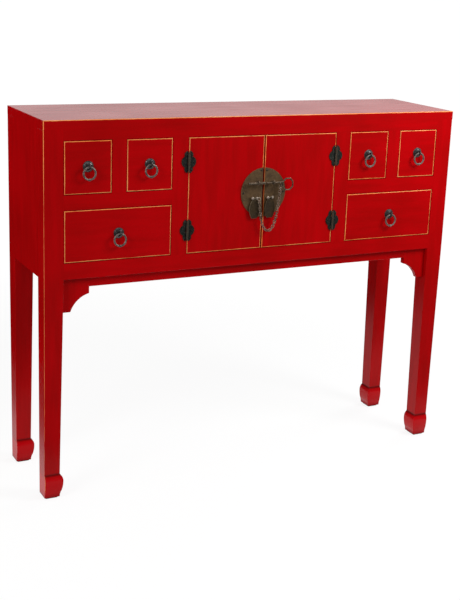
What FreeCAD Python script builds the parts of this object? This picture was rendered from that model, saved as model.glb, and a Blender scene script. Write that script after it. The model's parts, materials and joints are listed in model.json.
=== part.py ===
"""Chinese console table: a red lacquer case with six drawers and two doors.

Millimetres. X runs to the right, the front looks along -Y, Z is up, and the
origin is on the floor under the middle of the table, its lock included.
"""
import FreeCAD
import Part
import math
import os

os.makedirs("parts", exist_ok=True)
Vector = FreeCAD.Vector

# Overall sizes
width = 950.0
depth = 240.0
height = 780.0

# Case
leg_size = 40.0
board = 18.0
thin_board = 12.0
case_underside = 466.0
top_rail_height = 21.5
mid_rail_height = 30.0
bottom_rail_height = 33.0
stile_width = 30.0
post_width = 34.0
door_opening = 347.0
rubbed_edge = 1.2
same_place = 0.01

# Feet, as widths left of the leg at each height
glide_height = 3.0
glide_inset = 4.0
ankle_height = 53.0
hoof_height = 39.0
heel_height = 17.0
side_ankle, side_hoof, side_foot = 32.5, 39.0, 32.5
front_ankle, front_hoof, front_foot = 35.5, 40.0, 35.0

# Apron and spandrels
apron_setback = 10.0
apron_thickness = 12.0
apron_height = 20.0
spandrel_reach = 56.0
spandrel_drop = 70.0
spandrel_toe = 17.0
spandrel_step = 14.0
spandrel_bend = 0.63

# Drawers and doors
drawer_reveal = 1.2
drawer_side_play = 1.0
drawer_side = 10.0
drawer_base = 6.0
drawer_headroom = 18.0
drawer_back_space = 13.0
door_reveal = 1.2
door_gap = 3.0

# Ring pulls
dome_radius = 11.0
dome_height = 5.5
eye_wire = 1.2
pull_eye_radius = 3.9
pull_ring_radius = 12.2
pull_ring_wire = 1.9
pull_bead = 2.6
pull_bead_angle = 20.0
pull_eye_sink = 0.5
pull_rise = 2.0
loose_fit = 0.35

# Hinges
hinge_half_width = 16.0
hinge_half_height = 22.8
hinge_waist = 8.8
hinge_waist_rise = 11.0
hinge_tip = 8.2
hinge_tip_rise = 18.6
hinge_plate = 1.5
hinge_barrel = 2.3
hinge_pin = 1.3
hinge_air = 0.4
hinge_tab_start = 1.55
hinge_tab_end = 6.0
running_fit = 0.05
hinge_barrel_height = 40.0
hinge_door_knuckle = 13.4
knuckle_gap = 0.3
hinge_spread = 141.0
nail_radius = 1.3
side_nail_out = 9.6
end_nail_out = 4.8
end_nail_rise = 15.8

# Lock, with its leaf pulls shifted a little to the left
lock_radius = 52.0
lock_plate = 2.0
bolt_rise = 22.0
bolt_radius = 1.8
bolt_neck = 2.6
bolt_shaft = 39.0
bolt_ring_sides = 8
bolt_ring_size = 13.0
bolt_ring_wire = 1.5
bolt_ring_drop = 4.5
bolt_eye_radius = 4.0
bolt_eye_spread = 17.5
bolt_eye_shank = 1.6
bolt_standoff = 9.5
keeper_reach = 41.0
keeper_wall = 0.7
keeper_play = 0.25
keeper_cap = 2.0
keeper_setback = 0.3
rivet_radius = 2.0
rivet_inset = 5.0
leaf_spread = 18.0
leaf_shift = 3.5
leaf_drop = 11.0
leaf_length = 43.0
leaf_half_width = 11.8
leaf_belly = 21.0
leaf_foot = 6.0
leaf_thickness = 2.0
leaf_air = 1.0
staple_half = 5.2
staple_pin = 1.5
staple_ball = 3.2
staple_standoff = 3.6
leaf_barrel = 2.5

# Chain
link_wire = 0.9
link_bend = 2.5
link_straight = 1.2
link_play = 0.25
link_count = 33
loop_aside = 3.4
loop_forward = 3.2
loop_drop = 2.0
loop_from_neck = 3.8
loop_arm = 1.0

# Places worked out from the sizes
lock_depth = lock_plate + bolt_standoff + bolt_eye_radius + eye_wire
front = (lock_depth - depth) / 2
back = front + depth
half = width / 2
inside = half - leg_size
top_underside = height - board
opening_top = top_underside - top_rail_height
opening_bottom = case_underside + bottom_rail_height
drawer_opening_height = (opening_top - opening_bottom - mid_rail_height) / 2
shelf_top = opening_bottom + drawer_opening_height + mid_rail_height
door_half = door_opening / 2
post_outside = door_half + post_width
drawer_opening = (inside - post_outside - stile_width) / 2
stile_inside = post_outside + drawer_opening
stile_outside = stile_inside + stile_width
frame_back = front + board
back_inside = back - thin_board
floor_top = case_underside + thin_board
post_middle = door_half + post_width / 2
stile_middle = stile_inside + stile_width / 2
door_middle = (opening_top + opening_bottom) / 2
hinge_x = door_half - door_reveal / 2
hinge_y = front - hinge_air - hinge_barrel
plate_face = front - lock_plate
bolt_y = plate_face - bolt_standoff
bolt_eye_z = door_middle + bolt_rise
bolt_z = bolt_eye_z - (bolt_eye_radius - eye_wire - bolt_radius - loose_fit)
staple_y = plate_face - staple_standoff
staple_z = door_middle - leaf_drop
left_leaf_x = -leaf_spread - leaf_shift
right_leaf_x = leaf_spread - leaf_shift


def box(x0, x1, y0, y1, z0, z1):
    return Part.makeBox(x1 - x0, y1 - y0, z1 - z0, Vector(x0, y0, z0))


def rod(start, end, radius):
    way = end - start
    return Part.makeCylinder(radius, way.Length, start, way)


def join(first, *others):
    return first.fuse(list(others)).removeSplitter()


def flip(shape):
    """The same piece on the other side of the table."""
    return shape.mirror(Vector(0, 0, 0), Vector(1, 0, 0))


def pair(shape):
    return [shape, flip(shape)]


def slab(edges, thickness, y):
    """A flat piece: an outline in the front plane, made thick towards the back from y."""
    face = Part.Face(Part.Wire(Part.__sortEdges__(edges)))
    face.translate(Vector(0, y, 0))
    return face.extrude(Vector(0, thickness, 0))


def line(a, b):
    return Part.makeLine(Vector(a[0], 0, a[1]), Vector(b[0], 0, b[1]))


def arc(a, through, b):
    return Part.Arc(*[Vector(p[0], 0, p[1]) for p in (a, through, b)]).toShape()


def upright_arc(start, end):
    """Arc that leaves start straight up or down and bends over to end."""
    across, rise = end[0] - start[0], end[1] - start[1]
    radius = (across ** 2 + rise ** 2) / (2 * across)
    turn = math.atan2(abs(rise), abs(radius) - abs(across)) / 2
    middle = (start[0] + radius * (1 - math.cos(turn)),
              start[1] + math.copysign(radius * math.sin(turn), rise))
    return arc(start, middle, end)


def rub_front(shape):
    """Round the edges of a front that the lacquer has been rubbed from."""
    face = shape.BoundBox.YMin
    edges = [e for e in shape.Edges if all(abs(v.Y - face) < same_place for v in e.Vertexes)]
    return shape.makeFillet(rubbed_edge, edges)


def save(node, *solids):
    shape = solids[0] if len(solids) == 1 else Part.makeCompound(list(solids))
    shape.exportStep("parts/" + node + ".step")


# Legs: two profiles cut across each other give the square hoof foot
def leg_profile(ankle, hoof, foot):
    """Outline of one side of a leg, with the straight edge at 0."""
    corner = (0, glide_height)
    toe = (foot, glide_height)
    heel_point = ((foot + hoof) / 2, heel_height)
    hoof_point = (hoof, hoof_height)
    ankle_point = (ankle, ankle_height)
    knee = (leg_size, case_underside)
    crown = (leg_size, top_underside)
    foot_curve = [upright_arc(toe, heel_point), upright_arc(hoof_point, heel_point),
                  upright_arc(hoof_point, ankle_point)]
    return foot_curve + [line(corner, toe), line(ankle_point, knee), line(knee, crown),
                         line(crown, (0, top_underside)), line((0, top_underside), corner)]


def left_leg(rear_face):
    """Left leg whose back face is at rear_face."""
    side = slab(leg_profile(side_ankle, side_hoof, side_foot), leg_size, rear_face - leg_size)
    side.translate(Vector(-half, 0, 0))
    front_view = slab(leg_profile(front_ankle, front_hoof, front_foot), leg_size, 0)
    front_view.rotate(Vector(0, 0, 0), Vector(0, 0, 1), -90)
    front_view.translate(Vector(-half, rear_face, 0))
    return side.common(front_view).removeSplitter()


def glide(rear_face):
    return box(-half + glide_inset, -half + side_foot - glide_inset,
               rear_face - front_foot + glide_inset, rear_face - glide_inset, 0, glide_height)


def make_legs():
    front_leg = left_leg(front + leg_size)
    rear_leg = left_leg(back)
    save("leg_front_left", front_leg)
    save("leg_front_right", flip(front_leg))
    save("leg_rear_left", rear_leg)
    save("leg_rear_right", flip(rear_leg))
    save("foot_glides", *pair(glide(front + leg_size)), *pair(glide(back)))


# Case boards
def leg_corners():
    return [box(x, x + leg_size, y, y + leg_size, 0, top_underside)
            for x in (-half, inside) for y in (front, back - leg_size)]


def make_case():
    top = box(-half, half, front, back, top_underside, height)
    upper_edges = [e for e in top.Edges if e.BoundBox.ZMin > height - same_place]
    save("top_panel", top.makeFillet(rubbed_edge, upper_edges))
    side = box(-half, -half + board, front + leg_size, back - leg_size, case_underside, top_underside)
    save("side_panel_left", side)
    save("side_panel_right", flip(side))
    save("back_panel", box(-inside, inside, back_inside, back, case_underside, top_underside))
    floor = box(-half + board, half - board, frame_back, back_inside, case_underside, floor_top)
    save("bottom_panel", floor.cut(leg_corners()))
    top_rail = box(-inside, inside, front, frame_back, opening_top, top_underside)
    bottom_rail = box(-inside, inside, front, frame_back, case_underside, opening_bottom)
    save("front_rails", top_rail, bottom_rail)
    mid_rail = box(-inside, -post_outside, front, frame_back, shelf_top - mid_rail_height, shelf_top)
    save("mid_rails", *pair(mid_rail))
    stile = box(-stile_outside, -stile_inside, front, frame_back, shelf_top, opening_top)
    save("drawer_stiles", *pair(stile))
    post = box(-post_outside, -door_half, front, frame_back, opening_bottom, opening_top)
    save("door_posts", *pair(post))


def make_inside_boards():
    partition = box(-post_middle - thin_board / 2, -post_middle + thin_board / 2,
                    frame_back, back_inside, floor_top, top_underside)
    shelf = box(-half + board, -post_middle - thin_board / 2,
                frame_back, back_inside, shelf_top - thin_board, shelf_top).cut(leg_corners())
    divider = box(-stile_middle - thin_board / 2, -stile_middle + thin_board / 2,
                  frame_back, back_inside, shelf_top, top_underside)
    outer_runner = box(-inside, -inside + board, frame_back, back_inside, floor_top, opening_bottom)
    inner_runner = box(-post_outside - board, -post_outside, frame_back, back_inside,
                       floor_top, opening_bottom)
    left = [partition, shelf, divider, outer_runner, inner_runner]
    save("inner_boards_left", *left)
    save("inner_boards_right", *[flip(piece) for piece in left])


def make_apron():
    face = front + apron_setback
    low = case_underside - apron_height
    end = inside - spandrel_reach
    save("apron", box(-end, end, face, face + apron_thickness, low, case_underside))
    toe_z = case_underside - spandrel_drop
    taper = (leg_size - side_ankle) * spandrel_drop / (case_underside - ankle_height)
    leg_top = (-inside, case_underside)
    leg_low = (-inside - taper, toe_z)
    toe = (-inside + spandrel_toe, toe_z)
    step_low = (-end, low - spandrel_step)
    hollow = (step_low[0] + (toe[0] - step_low[0]) * spandrel_bend,
              toe[1] + (step_low[1] - toe[1]) * spandrel_bend)
    step_top = (-end, case_underside)
    edges = [line(leg_top, leg_low), line(leg_low, toe), arc(toe, hollow, step_low),
             line(step_low, step_top), line(step_top, leg_top)]
    save("spandrels", *pair(slab(edges, apron_thickness, face)))


# Drawers with ring pulls
def drawer_box(x0, x1, z0, z1):
    """Two sides, a back and a bottom, standing on the runner at z0."""
    left, right = x0 + drawer_side_play, x1 - drawer_side_play
    rear = back_inside - drawer_back_space
    top = z1 - drawer_headroom
    sides = [box(x, x + drawer_side, frame_back, rear, z0, top) for x in (left, right - drawer_side)]
    inner = (left + drawer_side, right - drawer_side)
    base = box(*inner, frame_back, rear, z0, z0 + drawer_base)
    tail = box(*inner, rear - drawer_side, rear, z0 + drawer_base, top)
    return sides + [base, tail]


def pull_mount(x, z):
    ball = (dome_radius ** 2 + dome_height ** 2) / (2 * dome_height)
    rim_angle = math.degrees(math.asin(1 - dome_height / ball))
    ball_middle = Vector(x, front + ball - dome_height, z)
    dome = Part.makeSphere(ball, ball_middle, Vector(0, -1, 0), rim_angle, 90)
    eye = Part.makeTorus(pull_eye_radius, eye_wire, Vector(x, pull_axis_y(), z), Vector(1, 0, 0))
    return join(dome, eye)


def pull_axis_y():
    return front - dome_height - pull_eye_radius + pull_eye_sink


def pull_axis_z(z):
    """Height of the ring wire where it hangs in the eye."""
    return z - (pull_eye_radius - eye_wire - pull_ring_wire - loose_fit)


def pull_ring(x, z):
    """Wire ring with a thicker bead at the bottom."""
    middle = Vector(x, pull_axis_y(), pull_axis_z(z) - pull_ring_radius)
    up = Vector(0, 0, 1)
    wire_angle = 360 - pull_bead_angle
    bead = Part.makeTorus(pull_ring_radius, pull_bead, middle, up, 0, 360, pull_bead_angle)
    wire = Part.makeTorus(pull_ring_radius, pull_ring_wire, middle, up, 0, 360, wire_angle)
    wire.rotate(middle, up, pull_bead_angle)
    ring = wire.fuse(bead)
    ring.rotate(middle, up, -90 - pull_bead_angle / 2)
    ring.rotate(middle, Vector(1, 0, 0), 90)
    return ring


def make_drawer(name, x0, x1, z0, z1):
    drawer_front = box(x0 + drawer_reveal, x1 - drawer_reveal, front, frame_back,
                       z0 + drawer_reveal, z1 - drawer_reveal)
    save(name + "_front", rub_front(drawer_front))
    save(name + "_box", *drawer_box(x0, x1, z0, z1))
    x = (x0 + x1) / 2
    z = (z0 + z1) / 2 + pull_rise
    save(name + "_mount", pull_mount(x, z))
    save(name + "_ring", pull_ring(x, z))


def make_drawers():
    upper_spans = [(-inside, -stile_outside), (-stile_inside, -post_outside),
                   (post_outside, stile_inside), (stile_outside, inside)]
    for number, span in enumerate(upper_spans, start=1):
        make_drawer("upper_drawer_%d" % number, *span, shelf_top, opening_top)
    lower_top = shelf_top - mid_rail_height
    make_drawer("lower_drawer_1", -inside, -post_outside, opening_bottom, lower_top)
    make_drawer("lower_drawer_2", post_outside, inside, opening_bottom, lower_top)


# Hinges: a leaf of three lobes on each side of a barrel of three knuckles
def hinge_axis(z):
    return Vector(-hinge_x, hinge_y, z)


def hinge_leaf(z, side, knuckles):
    """Left hinge leaf: side -1 lies on the post, side 1 on the door."""
    axis = hinge_axis(z)
    upper = [(hinge_barrel + knuckle_gap, hinge_half_height), (hinge_tip, hinge_tip_rise),
             (hinge_waist, hinge_waist_rise)]
    top, tip_top, waist_top = [(axis.x + side * u, z + v) for u, v in upper]
    low, tip_low, waist_low = [(axis.x + side * u, z - v) for u, v in upper]
    lobe = (axis.x + side * hinge_half_width, z)
    outline = [arc(top, tip_top, waist_top), arc(waist_top, lobe, waist_low),
               arc(waist_low, tip_low, low), line(low, top)]
    leaf = slab(outline, hinge_plate, front - hinge_plate)
    for start, end in knuckles:
        barrel = rod(axis + Vector(0, 0, start), axis + Vector(0, 0, end), hinge_barrel)
        near, far = sorted(axis.x + side * reach for reach in (hinge_tab_start, hinge_tab_end))
        tab = box(near, far, front - hinge_plate, front, z + start, z + end)
        leaf = join(leaf, barrel, tab)
    bore = rod(axis - Vector(0, 0, hinge_half_height), axis + Vector(0, 0, hinge_half_height),
               hinge_pin + running_fit)
    return leaf.cut(bore)


def nail(x, z, y, radius):
    """Round head standing half out of the face at y."""
    return Part.makeSphere(radius, Vector(x, y, z), Vector(0, -1, 0), 0, 90)


def hinge_nails(z, side):
    spots = [(side_nail_out, 0), (end_nail_out, end_nail_rise), (end_nail_out, -end_nail_rise)]
    return [nail(-hinge_x + side * u, z + v, front - hinge_plate, nail_radius) for u, v in spots]


def hinge_heights():
    return [door_middle + hinge_spread / 2, door_middle - hinge_spread / 2]


def make_hinges():
    door_end = hinge_door_knuckle / 2
    case_near = door_end + knuckle_gap
    case_far = hinge_barrel_height / 2
    post_leaves, door_leaves, pins, post_nails = [], [], [], []
    for z in hinge_heights():
        post_leaves.append(hinge_leaf(z, -1, [(-case_far, -case_near), (case_near, case_far)]))
        door_leaves.append(hinge_leaf(z, 1, [(-door_end, door_end)]))
        axis = hinge_axis(z)
        pins.append(rod(axis - Vector(0, 0, case_far), axis + Vector(0, 0, case_far), hinge_pin))
        post_nails += hinge_nails(z, -1)
    save("case_hinge_leaves", *post_leaves, *[flip(piece) for piece in post_leaves])
    save("hinge_pins", *pins, *[flip(piece) for piece in pins])
    save("case_hinge_nails", *post_nails, *[flip(piece) for piece in post_nails])
    save("left_door_hinge_leaves", *door_leaves)
    save("right_door_hinge_leaves", *[flip(piece) for piece in door_leaves])


# Doors and the lock on them
def left_door_panel():
    return rub_front(box(-door_half + door_reveal, -door_gap / 2, front, frame_back,
                         opening_bottom + door_reveal, opening_top - door_reveal))


def left_half_plate():
    disc = Part.makeCylinder(lock_radius, lock_plate, Vector(0, front, door_middle), Vector(0, -1, 0))
    edge = -door_gap / 2 - rubbed_edge
    return disc.common(box(-lock_radius, edge, plate_face, front,
                           door_middle - lock_radius, door_middle + lock_radius))


def left_door_nails():
    rim = lock_radius - rivet_inset
    beside_gap = door_gap / 2 + rivet_inset
    rise = math.sqrt(rim ** 2 - beside_gap ** 2)
    spots = [(-rim, 0), (-beside_gap, rise), (-beside_gap, -rise)]
    rivets = [nail(x, door_middle + z, plate_face, rivet_radius) for x, z in spots]
    return rivets + [head for z in hinge_heights() for head in hinge_nails(z, 1)]


def bolt_eye(x):
    """Closed eye that the bolt runs through, on a shank from the plate."""
    middle = Vector(x, bolt_y, bolt_eye_z)
    eye = Part.makeTorus(bolt_eye_radius, eye_wire, middle, Vector(1, 0, 0))
    shank_end = bolt_y + bolt_eye_radius
    shank = rod(Vector(x, plate_face, bolt_eye_z), Vector(x, shank_end, bolt_eye_z), bolt_eye_shank)
    return join(eye, shank)


def bolt_keeper():
    """Tube in the left eye, closed at its far end, that takes the bolt when the doors are locked."""
    mouth = Vector(-door_gap / 2 - keeper_setback, bolt_y, bolt_z)
    far_end = Vector(-keeper_reach, bolt_y, bolt_z)
    bore = bolt_radius + keeper_play
    tube = rod(far_end, mouth, bore + keeper_wall)
    return tube.cut(rod(far_end + Vector(keeper_cap, 0, 0), mouth, bore))


def pull_staple(x):
    """Pin between two ball-ended legs, which a leaf pull hangs on."""
    neck = staple_half - math.sqrt(staple_ball ** 2 - staple_pin ** 2)
    tip = staple_half + staple_ball
    half_section = [arc((-tip, 0), (-staple_half, staple_ball), (-neck, staple_pin)),
                    line((-neck, staple_pin), (neck, staple_pin)),
                    arc((neck, staple_pin), (staple_half, staple_ball), (tip, 0)),
                    line((tip, 0), (-tip, 0))]
    pin = Part.Face(Part.Wire(half_section)).revolve(Vector(0, 0, 0), Vector(1, 0, 0), 360)
    pin.translate(Vector(x, staple_y, staple_z))
    legs = [rod(Vector(x + side * staple_half, plate_face, staple_z),
                Vector(x + side * staple_half, staple_y, staple_z), staple_pin) for side in (-1, 1)]
    return join(pin, *legs)


def leaf_pull(x):
    """Petal hanging from a barrel round the staple's pin."""
    reach = staple_half - staple_ball - knuckle_gap
    pin_end = Vector(staple_half, 0, 0)
    barrel_end = Vector(reach, 0, 0)
    middle = Vector(x, staple_y, staple_z)
    barrel = rod(middle - barrel_end, middle + barrel_end, leaf_barrel)
    foot = staple_z - leaf_length
    belly = staple_z - leaf_belly
    corners = [(x + reach, staple_z), (x + leaf_foot, foot), (x - leaf_foot, foot), (x - reach, staple_z)]
    outline = [arc(corners[0], (x + leaf_half_width, belly), corners[1]),
               line(corners[1], corners[2]),
               arc(corners[2], (x - leaf_half_width, belly), corners[3]),
               line(corners[3], corners[0])]
    petal_y = staple_y + leaf_barrel - leaf_air - leaf_thickness
    petal = slab(outline, leaf_thickness, petal_y)
    for side in (-1, 1):
        near, far = sorted((x + side * reach, x + side * leaf_half_width))
        petal = petal.cut(box(near, far, petal_y, petal_y + leaf_thickness,
                              staple_z - staple_ball - knuckle_gap, staple_z))
    bore = rod(middle - pin_end, middle + pin_end, staple_pin + running_fit)
    return join(barrel, petal).cut(bore)


def lock_bolt():
    """Bolt drawn back to the door gap, with an eight-sided ring and a loop for the chain."""
    tip = Vector(bolt_radius, bolt_y, bolt_z)
    neck = Vector(bolt_shaft, bolt_y, bolt_z)
    centre = neck + Vector(bolt_ring_size, 0, -bolt_ring_drop)
    corners = []
    for number in range(bolt_ring_sides):
        angle = 2 * math.pi * (number + 0.5) / bolt_ring_sides
        corners.append(centre + Vector(math.cos(angle), 0, math.sin(angle)) * bolt_ring_size)
    start = (corners[0] + corners[-1]) * 0.5
    section = Part.Wire(Part.makeCircle(bolt_ring_wire, start, corners[0] - start))
    ring = Part.makePolygon([start] + corners + [start]).makePipeShell([section], True, False, 2)
    shaft = join(rod(tip, neck, bolt_radius), Part.makeSphere(bolt_radius, tip),
                 Part.makeSphere(bolt_neck, neck))
    loop = placed_link(right_loop(), Vector(0, 0, 1), link_count)
    return join(shaft, ring, loop)


# Chain: oval links along the curve of a hanging chain
def link_reach():
    """From the middle of a link to the point where the next one pulls on it."""
    return link_straight + link_bend - link_wire - link_play / 2


def plain_link():
    """Oval link along X, lying in the plane of X and Y."""
    bend = Part.makeTorus(link_bend, link_wire, Vector(0, 0, 0), Vector(0, 0, 1), 0, 360, 180)
    bend.rotate(Vector(0, 0, 0), Vector(0, 0, 1), -90)
    bend.translate(Vector(link_straight, 0, 0))
    other_bend = bend.copy()
    other_bend.rotate(Vector(0, 0, 0), Vector(0, 0, 1), 180)
    straights = [rod(Vector(-link_straight, y, 0), Vector(link_straight, y, 0), link_wire)
                 for y in (-link_bend, link_bend)]
    return join(bend, other_bend, *straights)


def placed_link(middle, way, number):
    """A link pulled along way, with odd and even numbers square to each other."""
    way = Vector(way).normalize()
    across = way.cross(Vector(0, 1, 0)).normalize()
    forward = way.cross(across)
    turn = -1 if number % 2 == 0 else 1
    flat = (across + forward * turn).normalize()
    upright = way.cross(flat)
    matrix = FreeCAD.Matrix(way.x, flat.x, upright.x, middle.x, way.y, flat.y, upright.y, middle.y,
                            way.z, flat.z, upright.z, middle.z, 0, 0, 0, 1)
    link = plain_link()
    link.Placement = FreeCAD.Placement(matrix)
    return link


def left_loop():
    """Middle of the loop beside the left staple's inner ball."""
    return left_ball() + Vector(loop_aside, -loop_forward, -loop_drop)


def left_ball():
    return Vector(left_leaf_x + staple_half, staple_y, staple_z)


def left_loop_arm():
    return rod(left_ball(), left_loop() + Vector(0, 0, link_straight + link_bend), loop_arm)


def right_loop():
    """Middle of the loop under the bolt's neck."""
    return Vector(bolt_shaft - loop_from_neck, bolt_y, bolt_z - bolt_radius - link_bend)


def hanging_points():
    """Points where link pulls on link, along a chain hanging between its two ends."""
    start, end = [loop - Vector(0, 0, link_reach()) for loop in (left_loop(), right_loop())]
    span, rise = end.x - start.x, end.z - start.z
    length = link_count * 2 * link_reach()
    slack = math.sqrt(length ** 2 - rise ** 2)
    # Halve the range of tensions until the chain's length fits between the ends
    low, high = span / 40, span * 40
    for _ in range(80):
        tension = (low + high) / 2
        if 2 * tension * math.sinh(span / (2 * tension)) > slack:
            low = tension
        else:
            high = tension
    lowest = span / 2 - tension * math.atanh(rise / length)
    start_arc = tension * math.sinh(-lowest / tension)
    points = []
    for number in range(link_count + 1):
        arc_length = start_arc + length * number / link_count
        x = lowest + tension * math.asinh(arc_length / tension)
        z = tension * (math.cosh((x - lowest) / tension) - math.cosh(lowest / tension))
        points.append(start + Vector(x, (end.y - start.y) * x / span, z))
    return points


def make_chain():
    """The left length hangs from the left staple and the right one from the bolt."""
    points = hanging_points()
    lowest = min(range(len(points)), key=lambda number: points[number].z)
    links = [placed_link((a + b) * 0.5, b - a, number)
             for number, (a, b) in enumerate(zip(points, points[1:]))]
    save("lock_chain_left", *links[:lowest])
    save("lock_chain_right", *links[lowest:])


def make_doors():
    panel = left_door_panel()
    save("left_door_panel", panel)
    save("right_door_panel", flip(panel))
    plate = left_half_plate()
    save("left_lock_plate", plate)
    save("right_lock_plate", flip(plate))
    nails = left_door_nails()
    save("left_door_nails", *nails)
    save("right_door_nails", *[flip(head) for head in nails])
    loop = placed_link(left_loop(), Vector(0, 0, -1), -1)
    left_staple = join(pull_staple(left_leaf_x), left_loop_arm(), loop)
    save("left_door_staples", join(bolt_eye(-bolt_eye_spread), bolt_keeper()), left_staple)
    save("right_door_staples", bolt_eye(bolt_eye_spread), pull_staple(right_leaf_x))
    save("left_leaf_pull", leaf_pull(left_leaf_x))
    save("right_leaf_pull", leaf_pull(right_leaf_x))
    save("lock_bolt", lock_bolt())


make_legs()
make_case()
make_inside_boards()
make_apron()
make_drawers()
make_hinges()
make_doors()
make_chain()
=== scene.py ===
"""Looks of the red lacquer console table: finishes, fine pieces, light and camera. Metres."""
import bmesh
import bpy
import json
import math
import numpy as np
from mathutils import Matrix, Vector


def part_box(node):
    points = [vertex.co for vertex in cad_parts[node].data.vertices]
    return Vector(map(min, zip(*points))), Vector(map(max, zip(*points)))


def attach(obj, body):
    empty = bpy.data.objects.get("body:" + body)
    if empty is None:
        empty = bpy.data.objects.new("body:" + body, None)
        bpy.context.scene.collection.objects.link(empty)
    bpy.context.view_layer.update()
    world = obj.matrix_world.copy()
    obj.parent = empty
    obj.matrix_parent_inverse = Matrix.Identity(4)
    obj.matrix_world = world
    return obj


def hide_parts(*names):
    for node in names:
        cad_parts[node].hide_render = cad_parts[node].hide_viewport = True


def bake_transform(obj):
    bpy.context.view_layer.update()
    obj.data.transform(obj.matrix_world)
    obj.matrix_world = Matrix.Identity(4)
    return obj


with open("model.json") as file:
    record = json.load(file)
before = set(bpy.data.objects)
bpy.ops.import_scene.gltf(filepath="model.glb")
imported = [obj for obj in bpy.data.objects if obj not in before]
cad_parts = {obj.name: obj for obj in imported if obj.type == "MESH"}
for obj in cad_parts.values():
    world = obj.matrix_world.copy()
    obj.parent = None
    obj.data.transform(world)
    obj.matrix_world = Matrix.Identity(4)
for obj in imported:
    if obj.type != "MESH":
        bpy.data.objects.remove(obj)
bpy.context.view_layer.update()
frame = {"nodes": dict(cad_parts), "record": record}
nodes = frame["nodes"]
record = frame["record"]
body_of = {node: body for body, members in record["behaviour"]["bodies"].items() for node in members}
mm = 0.001

# Places read from the solids
door_low, door_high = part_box("left_door_panel")
door_middle = (door_low.z + door_high.z) / 2
case_front = door_low.y
case_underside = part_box("front_rails")[0].z
top_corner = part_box("top_panel")[1]
half_width = top_corner.x
table_back = top_corner.y
table_height = top_corner.z
drawers = ["upper_drawer_%d" % number for number in (1, 2, 3, 4)] + ["lower_drawer_1", "lower_drawer_2"]

# Hoof feet: heights over the floor, and how far a leg's front corner stands back at each height
glide_height = 3.0 * mm
heel_height = 17.0 * mm
hoof_height = 39.0 * mm
ankle_height = 53.0 * mm
leg_recess = ((glide_height, 5.0 * mm), (heel_height, 2.5 * mm), (hoof_height, 0.0), (ankle_height, 4.5 * mm),
              (case_underside, 0.0), (table_height, 0.0))

# Directions in which brushwork and grain are drawn out
drawn_out = 0.12
along_x = (drawn_out, 1.0, 1.0)
along_y = (1.0, drawn_out, 1.0)
along_z = (1.0, 1.0, drawn_out)

# Lacquer, and the gold that shows where it is rubbed through
deep_red = (0.35, 0.0003, 0.0006, 1)
bright_red = (0.48, 0.0004, 0.002, 1)
gold = (1.0, 0.26, 0.05, 1)
pale_gold = (1.0, 0.43, 0.15, 1)
gold_line = 1.55 * mm
corner_line = 0.95 * mm
right_corner_share = 0.6
front_side_share = 0.3
front_ragged = 0.6
leg_ragged = 0.3
lacquer_relief = 0.008
top_relief = 0.002

# A side of an edge box that is not to show lies this far off
far = 5.0

# Down a leg the gold narrows twice: from the second height to the first, to the share that is left
gold_narrows = ((0.60, 0.72, 0.54), (0.12, 0.30, 0.85))

# Feet: hoofs painted lighter, a painted light over rubbed lacquer; dark wax with painted shade in the crease
# at the ankle, and painted shade at the sole
hoof_red = (0.61, 0.002, 0.006, 1)
hoof_share = 0.7
hoof_fade = 10 * mm
wax_and_painted_shade = (0.06, 0.002, 0.002, 1)
crease_share = 0.75
crease_reach = 4.5 * mm
crease_start = 0.6 * mm
crease_full = 1.6 * mm
sole_share = 0.45
sole_reach = 14 * mm

# Bare wood, the dark back and the leather of the glides
wood_tones = ((0.36, 0.20, 0.10, 1), (0.52, 0.33, 0.18, 1))
fibre_tone = (0.30, 0.16, 0.075, 1)
back_tones = ((0.09, 0.008, 0.008, 1), (0.16, 0.012, 0.012, 1))
leather_tones = ((0.03, 0.02, 0.014, 1), (0.06, 0.042, 0.03, 1))

# Rounded edges. A face larger than broad_face, in square metres, is shaded flat
eased_edge = 0.8 * mm
plate_edge = 0.5 * mm
hinge_edge = 0.25 * mm
edge_segments = 3
sharp_angle = math.radians(40)
flat_angle = math.radians(0.5)
copy_weld = 0.01 * mm
island_weld = 0.001 * mm
broad_face = 2e-4
rim_facing = 0.5

# Chain links, nail heads, and the beads on the pulls' bosses as (radius, distance out of the front)
link_wire = 0.9 * mm
link_bend = 2.5 * mm
link_straight = 1.2 * mm
link_steps = 28
wire_sides = 10
nail_rise = 0.8
nail_segments = 20
nail_rings = 12
boss_rings = ((10.4 * mm, 0.4 * mm), (6.0 * mm, 4.0 * mm))
boss_ring_wire = 0.065
boss_ring_steps = 48

# Studio: lamps as (name, place, aim, size, power)
lamps = (("key_light", (0.8, -0.8, 1.25), (0.1, -0.1, 0.65), 0.6, 11.5),
         ("side_light", (-2.0, -1.0, 1.5), (-0.4, 0, 0.45), 0.8, 14.5),
         ("low_light", (-4.0, -0.6, 0.5), (0, 0, 0.3), 1.2, 25),
         ("right_light", (2.3, 0.8, 0.9), (0.3, 0.1, 0.5), 1.0, 20))
room_light = 0.37
background_white = 1.0

# Floor: its grey for other light, its grey and white where it is seen, and the distances between the whites
floor_reach = 40.0
floor_grey = (0.6, 0.6, 0.6, 1)
seen_grey = (0.15, 0.15, 0.15, 1)
near_white, far_white = 0.88, 0.96
white_start, white_end = 0.8, 2.5

# Dark cards round the table
card_left, card_front, card_behind = -0.56, -0.3, 0.75
card_reach = 2.0
card_height = 0.9
low_card_height = 0.7

# Camera: millimetres for the lens, degrees for its turn
focal_length = 69.7
sensor_width = 36.0
shift_x, shift_y = -0.0326, -0.029
camera_place = (-1.1396, -2.2237, 1.0729)
camera_turn = (74.814, -2.3125, -27.2377)


# Node helpers
def feed(tree, socket, value):
    """Links a socket to another one, or sets it to a plain value."""
    if isinstance(value, bpy.types.NodeSocket):
        tree.links.new(value, socket)
    else:
        socket.default_value = value


def add_node(tree, kind, inputs=None, **settings):
    node = tree.nodes.new(kind)
    for label, value in settings.items():
        setattr(node, label, value)
    for label, value in (inputs or {}).items():
        feed(tree, node.inputs[label], value)
    return node


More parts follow.
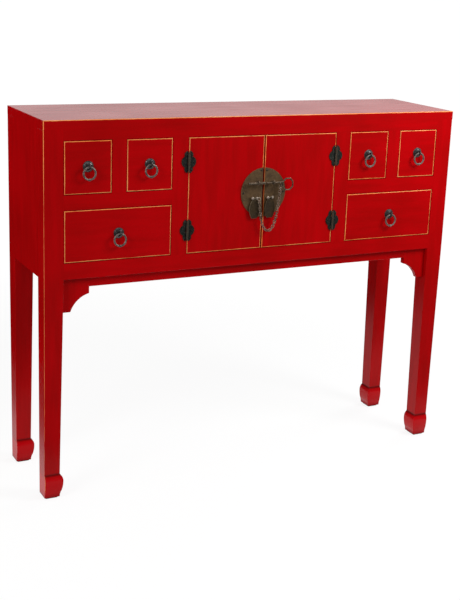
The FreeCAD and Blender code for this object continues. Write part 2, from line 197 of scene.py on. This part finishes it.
def calculate(tree, operation, *values):
    return add_node(tree, "ShaderNodeMath", dict(enumerate(values)), operation=operation).outputs[0]


def calculate_vector(tree, operation, *values):
    node = add_node(tree, "ShaderNodeVectorMath", dict(enumerate(values)), operation=operation)
    return node.outputs["Value" if operation == "LENGTH" else "Vector"]


def ramp(tree, value, low, high, to_low=0.0, to_high=1.0):
    """A smooth step of value between low and high."""
    inputs = {"Value": value, "From Min": low, "From Max": high, "To Min": to_low, "To Max": to_high}
    return add_node(tree, "ShaderNodeMapRange", inputs, interpolation_type="SMOOTHSTEP").outputs["Result"]


def fade(tree, share, first, second):
    """A smooth step from first to second as share goes from 0 to 1."""
    return ramp(tree, share, 0.0, 1.0, first, second)


def mix(tree, share, first, second):
    node = add_node(tree, "ShaderNodeMix", {"Factor": share}, data_type="RGBA")
    colours = [socket for socket in node.inputs if socket.type == "RGBA"]
    feed(tree, colours[0], first)
    feed(tree, colours[1], second)
    return [socket for socket in node.outputs if socket.type == "RGBA"][0]


def object_place(tree):
    return tree.nodes.new("ShaderNodeTexCoord").outputs["Object"]


def place_along(tree, axis):
    """Object coordinate along X, Y or Z."""
    return add_node(tree, "ShaderNodeSeparateXYZ", {"Vector": object_place(tree)}).outputs[axis]


def noise(tree, place, scale, detail=3.0, roughness=0.5):
    inputs = {"Vector": place, "Scale": scale, "Detail": detail, "Roughness": roughness}
    return add_node(tree, "ShaderNodeTexNoise", inputs).outputs["Fac"]


def new_group(name, inputs, outputs):
    """An empty shader group with named sockets: label to start value for the inputs."""
    tree = bpy.data.node_groups.new(name, "ShaderNodeTree")
    for label, value in inputs.items():
        kind = "NodeSocketFloat" if isinstance(value, float) else "NodeSocketVector"
        tree.interface.new_socket(label, in_out="INPUT", socket_type=kind).default_value = value
    for label in outputs:
        tree.interface.new_socket(label, in_out="OUTPUT", socket_type="NodeSocketFloat")
    return tree, tree.nodes.new("NodeGroupInput").outputs, tree.nodes.new("NodeGroupOutput").inputs


def place_group(tree, group, **settings):
    inputs = {label.replace("_", " ").capitalize(): value for label, value in settings.items()}
    return add_node(tree, "ShaderNodeGroup", inputs, node_tree=group).outputs


def new_material(name, **settings):
    material = bpy.data.materials.new(name)
    material.use_nodes = True
    tree = material.node_tree
    shader = tree.nodes["Principled BSDF"]
    for label, value in settings.items():
        shader.inputs[label.replace("_", " ")].default_value = value
    return material, tree, shader


def bump(tree, shader, height, strength, distance):
    node = add_node(tree, "ShaderNodeBump", {"Strength": strength, "Distance": distance, "Height": height})
    feed(tree, shader.inputs["Normal"], node.outputs["Normal"])


# Effects that several finishes share
def rubbed_edge_group():
    """Mask of the lines where lacquer is rubbed through, along the edges of a box.

    Side share is how far a line reaches from the front on to the sides, against its width in front.
    """
    sockets = {"Low": (0.0, 0.0, 0.0), "High": (1.0, 1.0, 1.0), "Line": 0.002, "Ragged": 0.001,
               "Recess": 0.0, "Side share": 1.0}
    tree, given, result = new_group("rubbed_edge", sockets, ["Mask"])
    back = add_node(tree, "ShaderNodeCombineXYZ", {"Y": given["Recess"]})
    place = calculate_vector(tree, "SUBTRACT", object_place(tree), back.outputs[0])
    from_low = calculate_vector(tree, "SUBTRACT", place, given["Low"])
    from_high = calculate_vector(tree, "SUBTRACT", given["High"], place)
    nearest = calculate_vector(tree, "MINIMUM", from_low, from_high)
    deeper = calculate(tree, "DIVIDE", 1.0, given["Side share"])
    depth = add_node(tree, "ShaderNodeCombineXYZ", {"X": 1.0, "Y": deeper, "Z": 1.0})
    nearest = calculate_vector(tree, "MULTIPLY", nearest, depth.outputs[0])
    parts = add_node(tree, "ShaderNodeSeparateXYZ", {"Vector": nearest})
    x, y, z = [calculate(tree, "MULTIPLY", part, part) for part in parts.outputs]
    to_edges = [calculate(tree, "ADD", first, second) for first, second in ((x, y), (y, z), (z, x))]
    closest = calculate(tree, "MINIMUM", calculate(tree, "MINIMUM", to_edges[0], to_edges[1]), to_edges[2])
    to_edge = calculate(tree, "SQRT", closest)
    wander = calculate(tree, "SUBTRACT", noise(tree, place, scale=45.0, detail=4.0), 0.5)
    ragged = calculate(tree, "MULTIPLY", calculate(tree, "MULTIPLY", wander, 2.0), given["Ragged"])
    distance = calculate(tree, "ADD", to_edge, ragged)
    # A line fades out over its last quarter
    inner = calculate(tree, "MULTIPLY", given["Line"], 0.75)
    feed(tree, result["Mask"], ramp(tree, distance, inner, given["Line"], 1.0, 0.0))
    return tree


def brushwork_group():
    """Faint streaks and clouds of brushed lacquer, drawn out along one direction."""
    tree, given, result = new_group("brushwork", {"Stretch": (1.0, 1.0, 1.0)}, ["Tone", "Height"])
    place = object_place(tree)
    drawn = calculate_vector(tree, "MULTIPLY", place, given["Stretch"])
    streaks = calculate(tree, "MULTIPLY", noise(tree, drawn, scale=70.0, detail=5.0, roughness=0.6), 0.5)
    clouds = calculate(tree, "MULTIPLY", noise(tree, place, scale=6.0, detail=2.0), 0.5)
    feed(tree, result["Tone"], ramp(tree, calculate(tree, "ADD", streaks, clouds), 0.3, 0.7))
    feed(tree, result["Height"], noise(tree, drawn, scale=160.0))
    return tree


def patina_group():
    """Mottling of old bronze: broad clouds, small spots and fine pits."""
    tree, given, result = new_group("patina", {"Grain": 1.0}, ["Cloud", "Spot", "Height"])
    sized = calculate_vector(tree, "SCALE", object_place(tree))
    feed(tree, sized.node.inputs["Scale"], given["Grain"])
    clouds = noise(tree, sized, scale=60.0, detail=5.0, roughness=0.6)
    spots = noise(tree, sized, scale=330.0, detail=4.0, roughness=0.65)
    pits = calculate(tree, "MULTIPLY", noise(tree, sized, scale=900.0, roughness=0.6), 0.5)
    feed(tree, result["Cloud"], ramp(tree, clouds, 0.34, 0.66))
    feed(tree, result["Spot"], ramp(tree, spots, 0.52, 0.68))
    feed(tree, result["Height"], calculate(tree, "ADD", spots, pits))
    return tree


def wood_grain_group():
    """Long fibres and slow bands of plain planed wood."""
    tree, given, result = new_group("wood_grain", {"Stretch": (1.0, 1.0, 1.0)}, ["Band", "Fibre"])
    drawn = calculate_vector(tree, "MULTIPLY", object_place(tree), given["Stretch"])
    feed(tree, result["Band"], ramp(tree, noise(tree, drawn, scale=28.0), 0.35, 0.65))
    feed(tree, result["Fibre"], noise(tree, drawn, scale=260.0, detail=4.0, roughness=0.65))
    return tree


rubbed_edge = rubbed_edge_group()
brushwork = brushwork_group()
patina = patina_group()
wood_grain = wood_grain_group()


# Finishes
def stepped_back(tree, steps):
    """Recess at each height, on straight lines through (height, recess) pairs."""
    tallest = max(height for height, _ in steps)
    deepest = max(recess for _, recess in steps)
    node = tree.nodes.new("ShaderNodeFloatCurve")
    points = node.mapping.curves[0].points
    for number, (height, recess) in enumerate(steps):
        spot = (height / tallest, recess / deepest)
        if 0 < number < len(steps) - 1:
            point = points.new(*spot)
        else:
            point = points[0 if number == 0 else -1]
            point.location = spot
        point.handle_type = "VECTOR"
    node.mapping.update()
    feed(tree, node.inputs["Value"], calculate(tree, "DIVIDE", place_along(tree, "Z"), tallest))
    return calculate(tree, "MULTIPLY", node.outputs["Value"], deepest)


def crease_mask(tree, height):
    """Mask of the crease over a hoof, where dark wax and painted shade go; it runs round a leg but for its
    straight outer sides.
    """
    from_crease = calculate(tree, "ABSOLUTE", calculate(tree, "SUBTRACT", height, ankle_height))
    near = ramp(tree, from_crease, 0.0, crease_reach, crease_share, 0.0)
    inward = calculate(tree, "SUBTRACT", half_width, calculate(tree, "ABSOLUTE", place_along(tree, "X")))
    forward = calculate(tree, "SUBTRACT", table_back, place_along(tree, "Y"))
    inside = ramp(tree, calculate(tree, "MINIMUM", inward, forward), crease_start, crease_full)
    return calculate(tree, "MULTIPLY", near, inside)


def foot_wax_and_painted_light(tree, colour, height):
    """Hoofs painted lighter, a painted light over rubbed lacquer; dark wax with painted shade in the crease,
    and painted shade at the sole.
    """
    # Painted light: the hoof below the ankle is lighter, over some rubbed wear
    hoof = ramp(tree, height, ankle_height - hoof_fade, ankle_height, hoof_share, 0.0)
    # Painted shade: darker towards the floor at the sole
    sole = ramp(tree, height, glide_height, sole_reach, sole_share, 0.0)
    # Painted shade with dark wax in the crease, and painted shade at the sole, both in the same dark colour
    dark = calculate(tree, "MAXIMUM", crease_mask(tree, height), sole)
    return mix(tree, dark, mix(tree, hoof, colour, hoof_red), wax_and_painted_shade)


def red_lacquer(name, stretch, edges=(), line=gold_line, side_share=1.0, leg=False, relief=lacquer_relief):
    """Red lacquer, rubbed to gold in ragged lines along the near edges of (low, high) boxes."""
    material, tree, shader = new_material(name, Specular_IOR_Level=0.12)
    brush = place_group(tree, brushwork, stretch=stretch)
    colour = mix(tree, brush["Tone"], deep_red, bright_red)
    recess = 0.0
    if leg:
        height = place_along(tree, "Z")
        colour = foot_wax_and_painted_light(tree, colour, height)
        recess = stepped_back(tree, leg_recess)
        for start, end, share in gold_narrows:
            line = calculate(tree, "MULTIPLY", ramp(tree, height, start, end, share, 1.0), line)
    ragged = calculate(tree, "MULTIPLY", line, leg_ragged if leg else front_ragged)
    leaf = mix(tree, brush["Tone"], gold, pale_gold)
    for low, high in edges:
        rub = place_group(tree, rubbed_edge, low=low, high=high, line=line, ragged=ragged, recess=recess,
                          side_share=side_share)
        colour = mix(tree, rub["Mask"], colour, leaf)
    feed(tree, shader.inputs["Base Color"], colour)
    feed(tree, shader.inputs["Roughness"], fade(tree, brush["Tone"], 0.27, 0.23))
    bump(tree, shader, brush["Height"], strength=relief, distance=0.3 * mm)
    return material


def bare_wood(name, stretch):
    material, tree, shader = new_material(name, Specular_IOR_Level=0.3)
    grain = place_group(tree, wood_grain, stretch=stretch)
    bands = mix(tree, grain["Band"], *wood_tones)
    fibres = ramp(tree, grain["Fibre"], 0.3, 0.8)
    feed(tree, shader.inputs["Base Color"], mix(tree, fibres, bands, fibre_tone))
    feed(tree, shader.inputs["Roughness"], fade(tree, grain["Fibre"], 0.5, 0.75))
    bump(tree, shader, grain["Fibre"], strength=0.15, distance=0.3 * mm)
    return material


def dark_back(name):
    material, tree, shader = new_material(name, Specular_IOR_Level=0.25)
    brush = place_group(tree, brushwork, stretch=along_x)
    feed(tree, shader.inputs["Base Color"], mix(tree, brush["Tone"], *back_tones))
    feed(tree, shader.inputs["Roughness"], fade(tree, brush["Tone"], 0.65, 0.5))
    bump(tree, shader, brush["Height"], strength=0.12, distance=0.4 * mm)
    return material


def leather(name):
    material, tree, shader = new_material(name, Specular_IOR_Level=0.3, Roughness=0.75)
    old = place_group(tree, patina, grain=2.0)
    feed(tree, shader.inputs["Base Color"], mix(tree, old["Cloud"], *leather_tones))
    bump(tree, shader, old["Height"], strength=0.3, distance=0.3 * mm)
    return material


def bronze(name, dark, light, spot, roughness, metal, grain=1.0, wear_and_glint=None):
    """Old bronze: two tones of patina with spots of a third. Light patina is smoother and more metallic.

    A lighter colour for rubbed wear, and on the staples a painted highlight as well, comes as (axis, start,
    end, colour), with the full colour from end onwards.
    """
    material, tree, shader = new_material(name, Specular_IOR_Level=0.3)
    old = place_group(tree, patina, grain=grain)
    tones = mix(tree, old["Cloud"], dark, light)
    tones = mix(tree, calculate(tree, "MULTIPLY", old["Spot"], 0.6), tones, spot)
    if wear_and_glint:
        axis, start, end, colour = wear_and_glint
        wear_and_glint_mask = ramp(tree, place_along(tree, axis), start, end)
        uneven = fade(tree, old["Cloud"], 0.6, 1.0)
        tones = mix(tree, calculate(tree, "MULTIPLY", wear_and_glint_mask, uneven), tones, colour)
    feed(tree, shader.inputs["Base Color"], tones)
    feed(tree, shader.inputs["Roughness"], fade(tree, old["Cloud"], roughness + 0.1, roughness - 0.08))
    feed(tree, shader.inputs["Metallic"], fade(tree, old["Cloud"], metal - 0.1, metal + 0.05))
    bump(tree, shader, old["Height"], strength=0.18, distance=0.25 * mm)
    return material


plate_bronze = bronze(
    "plate_bronze", dark=(0.070, 0.038, 0.015, 1), light=(0.148, 0.087, 0.040, 1), spot=(0.22, 0.14, 0.07, 1),
    roughness=0.5, metal=0.3)
leaf_bronze = bronze(
    "leaf_bronze", dark=(0.03, 0.018, 0.008, 1), light=(0.062, 0.04, 0.019, 1), spot=(0.10, 0.068, 0.036, 1),
    roughness=0.5, metal=0.3)
# Painted highlight: the lighter rims and rounded edges of the leaf pulls stand in for light catching them
lit_edge_bronze = bronze(
    "lit_edge_bronze", dark=(0.11, 0.078, 0.045, 1), light=(0.26, 0.20, 0.13, 1), spot=(0.40, 0.32, 0.22, 1),
    roughness=0.4, metal=0.4, grain=2.0)
dark_bronze = bronze(
    "dark_bronze", dark=(0.005, 0.007, 0.006, 1), light=(0.022, 0.025, 0.020, 1), spot=(0.12, 0.12, 0.10, 1),
    roughness=0.45, metal=0.3, grain=1.6,
    wear_and_glint=("Y", case_front - 2.6 * mm, case_front - 4.6 * mm, (0.085, 0.062, 0.04, 1)))
boss_bronze = bronze(
    "boss_bronze", dark=(0.022, 0.022, 0.023, 1), light=(0.115, 0.112, 0.11, 1), spot=(0.26, 0.25, 0.245, 1),
    roughness=0.2, metal=0.65, grain=1.6)
ring_bronze = bronze(
    "ring_bronze", dark=(0.09, 0.078, 0.07, 1), light=(0.30, 0.26, 0.235, 1), spot=(0.50, 0.44, 0.40, 1),
    roughness=0.3, metal=0.55, grain=2.0)
# Staple balls below the bolt are lighter: rubbed wear and a painted highlight
bolt_bronze = bronze(
    "bolt_bronze", dark=(0.05, 0.036, 0.023, 1), light=(0.20, 0.148, 0.10, 1), spot=(0.42, 0.33, 0.25, 1),
    roughness=0.28, metal=0.6, grain=2.0,
    wear_and_glint=("Z", door_middle + 2 * mm, door_middle - 2 * mm, (0.55, 0.46, 0.38, 1)))
chain_bronze = bronze(
    "chain_bronze", dark=(0.10, 0.06, 0.04, 1), light=(0.68, 0.51, 0.39, 1), spot=(0.95, 0.80, 0.68, 1),
    roughness=0.2, metal=0.78, grain=2.0)


# Pieces
def finish_node(node, material):
    """Gives its finish to a solid that stays as it is."""
    slots = nodes[node].data.materials
    slots.clear()
    slots.append(material)


def stand_in(piece, *replaced):
    """A piece that is shown in place of these solids and moves with their body."""
    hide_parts(*replaced)
    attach(piece, body_of[replaced[0]])
    return piece


def new_piece(name, mesh, material):
    piece = bpy.data.objects.new(name, mesh)
    bpy.context.scene.collection.objects.link(piece)
    mesh.materials.clear()
    mesh.materials.append(material)
    return piece


def everywhere(middle):
    """Eases every sharp edge."""
    return True


def eased_copy(node, material, eased, width=eased_edge, edge_material=None):
    """A merged copy of a solid whose sharp edges, where eased(middle) holds, are rounded a little.

    With edge_material, the rim between front and back and its rounded edges get that finish.
    """
    mesh = nodes[node].data.copy()
    shape = bmesh.new()
    shape.from_mesh(mesh)
    bmesh.ops.remove_doubles(shape, verts=shape.verts, dist=copy_weld)
    bmesh.ops.dissolve_limit(shape, angle_limit=flat_angle, verts=shape.verts, edges=shape.edges)
    weights = shape.edges.layers.float.new("bevel_weight_edge")
    for edge in shape.edges:
        middle = (edge.verts[0].co + edge.verts[1].co) / 2
        if edge.is_manifold and edge.calc_face_angle() > sharp_angle and eased(middle):
            edge[weights] = 1.0
    shape.to_mesh(mesh)
    shape.free()
    mesh.set_sharp_from_angle(angle=sharp_angle)
    piece = new_piece("fine_" + node, mesh, material)
    for face in mesh.polygons:
        face.use_smooth = face.area < broad_face
        face.material_index = 1 if edge_material and abs(face.normal.y) < rim_facing else 0
    round_edges = piece.modifiers.new("round_edges", "BEVEL")
    round_edges.limit_method = "WEIGHT"
    round_edges.width = width
    round_edges.segments = edge_segments
    if edge_material:
        mesh.materials.append(edge_material)
        round_edges.material = 1
    return stand_in(piece, node)


def islands(node):
    """Corner points of each separate solid of a node."""
    shape = bmesh.new()
    shape.from_mesh(nodes[node].data)
    bmesh.ops.remove_doubles(shape, verts=shape.verts, dist=island_weld)
    shape.verts.index_update()
    seen = set()
    found = []
    for start in shape.verts:
        if start.index in seen:
            continue
        seen.add(start.index)
        group = [start]
        for corner in group:
            for edge in corner.link_edges:
                other = edge.other_vert(corner)
                if other.index not in seen:
                    seen.add(other.index)
                    group.append(other)
        found.append(np.array([corner.co for corner in group]))
    shape.free()
    return found


# Node trees for what repeats
def new_tree(name, **sizes):
    """A geometry tree with a named input for each size, and one for the finish."""
    tree = bpy.data.node_groups.new(name, "GeometryNodeTree")
    tree.interface.new_socket("Geometry", in_out="INPUT", socket_type="NodeSocketGeometry")
    for label, value in sizes.items():
        size = tree.interface.new_socket(label, in_out="INPUT", socket_type="NodeSocketFloat")
        size.default_value = value
    tree.interface.new_socket("Finish", in_out="INPUT", socket_type="NodeSocketMaterial")
    tree.interface.new_socket("Geometry", in_out="OUTPUT", socket_type="NodeSocketGeometry")
    return tree, tree.nodes.new("NodeGroupInput").outputs


def attribute(tree, name, kind):
    node = add_node(tree, "GeometryNodeInputNamedAttribute", {"Name": name}, data_type=kind)
    return [socket for socket in node.outputs if socket.name == "Attribute" and socket.enabled][0]


def circle(tree, steps, radius):
    inputs = {"Resolution": steps, "Radius": radius}
    return add_node(tree, "GeometryNodeCurvePrimitiveCircle", inputs).outputs["Curve"]


def wire_along(tree, path, radius):
    """A round wire along a curve."""
    inputs = {"Curve": path, "Profile Curve": circle(tree, wire_sides, radius)}
    return add_node(tree, "GeometryNodeCurveToMesh", inputs).outputs["Mesh"]


def put_on_points(tree, given, shape, **placing):
    """Ends a tree: the shape on every point, as one smooth mesh with its finish."""
    places = add_node(tree, "GeometryNodeInstanceOnPoints", {"Points": given["Geometry"], "Instance": shape})
    for label, value in placing.items():
        feed(tree, places.inputs[label], value)
    real = add_node(tree, "GeometryNodeRealizeInstances", {"Geometry": places.outputs["Instances"]})
    smooth = add_node(tree, "GeometryNodeSetShadeSmooth", {"Geometry": real.outputs["Geometry"]})
    finish = add_node(tree, "GeometryNodeSetMaterial",
                      {"Geometry": smooth.outputs["Geometry"], "Material": given["Finish"]})
    add_node(tree, "NodeGroupOutput", {"Geometry": finish.outputs["Geometry"]})
    return tree


def link_tree():
    """Oval wire links, each drawn out along way and lying flat across it."""
    tree, given = new_tree("chain_links", Wire=link_wire, Bend=link_bend, Straight=link_straight)
    place = tree.nodes.new("GeometryNodeInputPosition").outputs[0]
    spot = add_node(tree, "ShaderNodeSeparateXYZ", {"Vector": place})
    stretch = calculate(tree, "MULTIPLY", calculate(tree, "SIGN", spot.outputs["X"]), given["Straight"])
    offset = add_node(tree, "ShaderNodeCombineXYZ", {"X": stretch})
    oval = add_node(tree, "GeometryNodeSetPosition",
                    {"Geometry": circle(tree, link_steps, given["Bend"]), "Offset": offset.outputs[0]})
    link = wire_along(tree, oval.outputs["Geometry"], given["Wire"])
    axes = {"Primary Axis": attribute(tree, "way", "FLOAT_VECTOR"),
            "Secondary Axis": attribute(tree, "flat", "FLOAT_VECTOR")}
    turn = add_node(tree, "FunctionNodeAxesToRotation", axes, primary_axis="X", secondary_axis="Y")
    return put_on_points(tree, given, link, Rotation=turn.outputs["Rotation"])


def nail_tree():
    """Low round heads, each as wide as its point's radius."""
    tree, given = new_tree("nail_heads", Rise=nail_rise)
    ball = add_node(tree, "GeometryNodeMeshUVSphere",
                    {"Segments": nail_segments, "Rings": nail_rings, "Radius": 1.0})
    flat = add_node(tree, "ShaderNodeCombineXYZ", {"X": 1.0, "Y": given["Rise"], "Z": 1.0})
    head = add_node(tree, "GeometryNodeTransform",
                    {"Geometry": ball.outputs["Mesh"], "Scale": flat.outputs[0]})
    return put_on_points(tree, given, head.outputs["Geometry"], Scale=attribute(tree, "radius", "FLOAT"))


def boss_ring_tree():
    """Round beads that face the front, each as wide as its point's radius."""
    tree, given = new_tree("boss_rings", Wire=boss_ring_wire)
    bead = wire_along(tree, circle(tree, boss_ring_steps, 1.0), given["Wire"])
    facing = add_node(tree, "GeometryNodeTransform", {"Geometry": bead, "Rotation": (math.pi / 2, 0.0, 0.0)})
    return put_on_points(tree, given, facing.outputs["Geometry"], Scale=attribute(tree, "radius", "FLOAT"))


def made_by(tree, name, points, material, **attributes):
    """A plain mesh piece that a tree makes on points with these attributes."""
    mesh = bpy.data.meshes.new(name)
    mesh.from_pydata([tuple(point) for point in points], [], [])
    for label, values in attributes.items():
        values = np.array(values, float)
        vector = values.ndim == 2
        layer = mesh.attributes.new(label, "FLOAT_VECTOR" if vector else "FLOAT", "POINT")
        layer.data.foreach_set("vector" if vector else "value", values.ravel())
    piece = bpy.data.objects.new(name, mesh)
    bpy.context.scene.collection.objects.link(piece)
    maker = piece.modifiers.new(tree.name, "NODES")
    maker.node_group = tree
    for socket in tree.interface.items_tree:
        if socket.name == "Finish":
            maker[socket.identifier] = material
    made = bpy.data.meshes.new_from_object(piece.evaluated_get(bpy.context.evaluated_depsgraph_get()))
    piece.modifiers.remove(maker)
    piece.data = made
    return piece


chain_links = link_tree()
nail_heads = nail_tree()
pull_beads = boss_ring_tree()


# Case: one even lacquer skin, gold along the top and the front corners
def corner_edges(side):
    """A box that has only the front corner on that side among its near edges."""
    low = Vector((-half_width if side < 0 else -far, case_front, -far))
    high = Vector((far if side < 0 else half_width, far, far))
    return low, high


def dress_case():
    top_edge = (Vector((-far, case_front, -far)), Vector((far, far, table_height)))
    top = red_lacquer("top_lacquer", along_x, [top_edge, corner_edges(-1)], relief=top_relief)
    finish_node("top_panel", top)
    upright = red_lacquer("upright_lacquer", along_z)
    rear_leg = red_lacquer("rear_leg_lacquer", along_z, leg=True)
    for side, word, line in ((-1, "left", corner_line), (1, "right", right_corner_share * corner_line)):
        front_leg = red_lacquer(word + "_leg_lacquer", along_z, [corner_edges(side)], line, leg=True)
        for place, finish in (("front", front_leg), ("rear", rear_leg)):
            eased_copy("leg_%s_%s" % (place, word), finish,
                       lambda middle: middle.z < case_underside - mm or abs(middle.x) > half_width - mm)
        eased_copy("side_panel_" + word, upright, lambda middle: middle.z < case_underside + mm)
    apron_low, apron_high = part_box("apron")
    end = apron_high.x
    level = red_lacquer("level_lacquer", along_x)
    eased_copy("front_rails", level, lambda middle: middle.z < case_underside + mm)
    eased_copy("apron", level, lambda middle: middle.z < apron_low.z + mm and abs(middle.x) < end - mm)
    eased_copy("spandrels", upright,
               lambda middle: middle.z < case_underside - mm and abs(middle.x) > end + mm)
    finish_node("mid_rails", level)
    for node in ("door_posts", "drawer_stiles"):
        finish_node(node, upright)
    board = bare_wood("inner_wood", along_y)
    for node in ("inner_boards_left", "inner_boards_right"):
        finish_node(node, board)
    back = dark_back("back_lacquer")
    for node in ("back_panel", "bottom_panel"):
        finish_node(node, back)
    finish_node("foot_glides", leather("glide_leather"))


# Drawers and doors: gold round every front
def front_lacquer(node, stretch):
    return red_lacquer(node + "_lacquer", stretch, [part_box(node)], side_share=front_side_share)


def dress_drawers():
    boxes = bare_wood("drawer_wood", along_y)
    for drawer in drawers:
        finish_node(drawer + "_front", front_lacquer(drawer + "_front", along_x))
        finish_node(drawer + "_box", boxes)
        finish_node(drawer + "_mount", boss_bronze)
        finish_node(drawer + "_ring", ring_bronze)
        low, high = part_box(drawer + "_mount")
        middle = (low + high) / 2
        places = [(middle.x, case_front - out, middle.z) for _, out in boss_rings]
        radii = [radius for radius, _ in boss_rings]
        beads = made_by(pull_beads, drawer + "_boss_rings", places, boss_bronze, radius=radii)
        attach(beads, drawer)


def dress_doors():
    for side in ("left", "right"):
        door = side + "_door_panel"
        finish_node(door, front_lacquer(door, along_z))
        finish_node(side + "_door_staples", bolt_bronze)
        eased_copy(side + "_lock_plate", plate_bronze, lambda middle: middle.y < case_front - mm, plate_edge)
        eased_copy(side + "_leaf_pull", leaf_bronze, everywhere, plate_edge, lit_edge_bronze)
        eased_copy(side + "_door_hinge_leaves", dark_bronze, everywhere, hinge_edge)
    eased_copy("case_hinge_leaves", dark_bronze, everywhere, hinge_edge)
    finish_node("hinge_pins", dark_bronze)
    finish_node("lock_bolt", bolt_bronze)


def nail_pieces():
    for node in ("case_hinge_nails", "left_door_nails", "right_door_nails"):
        heads = islands(node)
        middles = [(head.min(0) + head.max(0)) / 2 for head in heads]
        radii = [(head[:, 0].max() - head[:, 0].min()) / 2 for head in heads]
        places = [(middle[0], head[:, 1].max(), middle[2]) for head, middle in zip(heads, middles)]
        stand_in(made_by(nail_heads, "fine_" + node, places, dark_bronze, radius=radii), node)


def chain_length(node):
    """Links where the solid has its links; each one's long and flat directions come from its spread."""
    middles, ways, flats = [], [], []
    for corners in islands(node):
        middle = (corners.min(0) + corners.max(0)) / 2
        _, axes = np.linalg.eigh(np.cov((corners - middle).T))
        middles.append(middle)
        ways.append(axes[:, 2])
        flats.append(axes[:, 1])
    piece = made_by(chain_links, "fine_" + node, middles, chain_bronze, way=ways, flat=flats)
    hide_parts(node)
    return piece


def hang_chain():
    """The left length stays with its door; the right one keeps its place, with its transform baked into the
    mesh.
    """
    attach(chain_length("lock_chain_left"), "left_door")
    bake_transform(chain_length("lock_chain_right"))


# Floor, light and camera
def light_path_background(tree):
    """1 where a ray shows the background: seen directly, in gloss or through glass."""
    path = tree.nodes.new("ShaderNodeLightPath")
    seen = calculate(tree, "MAXIMUM", path.outputs["Is Camera Ray"], path.outputs["Is Glossy Ray"])
    return calculate(tree, "MAXIMUM", seen, path.outputs["Is Transmission Ray"])


def floor_finish():
    """Near white with the table's shadow where it is seen, and plain grey for all other light."""
    material = bpy.data.materials.new("pale_floor")
    material.use_nodes = True
    tree = material.node_tree
    tree.nodes.clear()
    plain = add_node(tree, "ShaderNodeBsdfDiffuse", {"Color": floor_grey})
    thin = add_node(tree, "ShaderNodeBsdfDiffuse", {"Color": seen_grey})
    distance = calculate_vector(tree, "LENGTH", object_place(tree))
    strength = ramp(tree, distance, white_start, white_end, near_white, far_white)
    white = add_node(tree, "ShaderNodeEmission", {"Strength": strength})
    seen = add_node(tree, "ShaderNodeAddShader", {0: thin.outputs[0], 1: white.outputs[0]})
    choose = add_node(tree, "ShaderNodeMixShader",
                      {0: light_path_background(tree), 1: plain.outputs[0], 2: seen.outputs[0]})
    add_node(tree, "ShaderNodeOutputMaterial", {"Surface": choose.outputs[0]})
    return material


def make_floor():
    mesh = bpy.data.meshes.new("floor")
    corners = [(floor_reach * x, floor_reach * y, 0) for x, y in ((-1, -1), (1, -1), (1, 1), (-1, 1))]
    mesh.from_pydata(corners, [], [(0, 1, 2, 3)])
    floor = new_piece("floor", mesh, floor_finish())


def make_world():
    world = bpy.data.worlds.new("studio")
    bpy.context.scene.world = world
    world.use_nodes = True
    tree = world.node_tree
    background = tree.nodes["Background"]
    background.inputs["Color"].default_value = (1, 1, 1, 1)
    strength = fade(tree, light_path_background(tree), room_light, background_white)
    feed(tree, background.inputs["Strength"], strength)


def make_flags():
    """Dark cards at the left, in front and behind, as in a studio. Only gloss can see them."""
    cards = (((card_left, card_front), (card_left, card_reach), card_height),
             ((card_left, card_front), (card_reach, card_front), card_height),
             ((card_left, card_behind), (card_reach, card_behind), low_card_height))
    corners, faces = [], []
    for start, end, height in cards:
        first = len(corners)
        corners += [(*start, 0), (*end, 0), (*end, height), (*start, height)]
        faces.append((first, first + 1, first + 2, first + 3))
    mesh = bpy.data.meshes.new("dark_flags")
    mesh.from_pydata(corners, [], faces)
    material, _, shader = new_material("flag_cloth", Roughness=1.0, Specular_IOR_Level=0.0)
    shader.inputs["Base Color"].default_value = (0.0, 0.0, 0.0, 1)
    flags = new_piece("dark_flags", mesh, material)
    flags.visible_camera = False
    flags.visible_diffuse = False
    flags.visible_transmission = False
    flags.visible_shadow = False


def soft_light(name, place, aim, size, power):
    lamp = bpy.data.lights.new(name, "AREA")
    lamp.shape = "DISK"
    lamp.size = size
    lamp.energy = power
    light = bpy.data.objects.new(name, lamp)
    light.location = place
    light.rotation_euler = (Vector(aim) - Vector(place)).to_track_quat("-Z", "Y").to_euler()
    bpy.context.scene.collection.objects.link(light)


def make_camera():
    lens = bpy.data.cameras.new("camera")
    lens.lens = focal_length
    lens.sensor_width = sensor_width
    lens.shift_x = shift_x
    lens.shift_y = shift_y
    camera = bpy.data.objects.new("camera", lens)
    camera.location = camera_place
    camera.rotation_euler = [math.radians(angle) for angle in camera_turn]
    bpy.context.scene.collection.objects.link(camera)
    bpy.context.scene.camera = camera


dress_case()
dress_drawers()
dress_doors()
nail_pieces()
hang_chain()
make_floor()
make_world()
make_flags()
for lamp in lamps:
    soft_light(*lamp)
make_camera()
bpy.context.scene.view_settings.view_transform = "Standard"
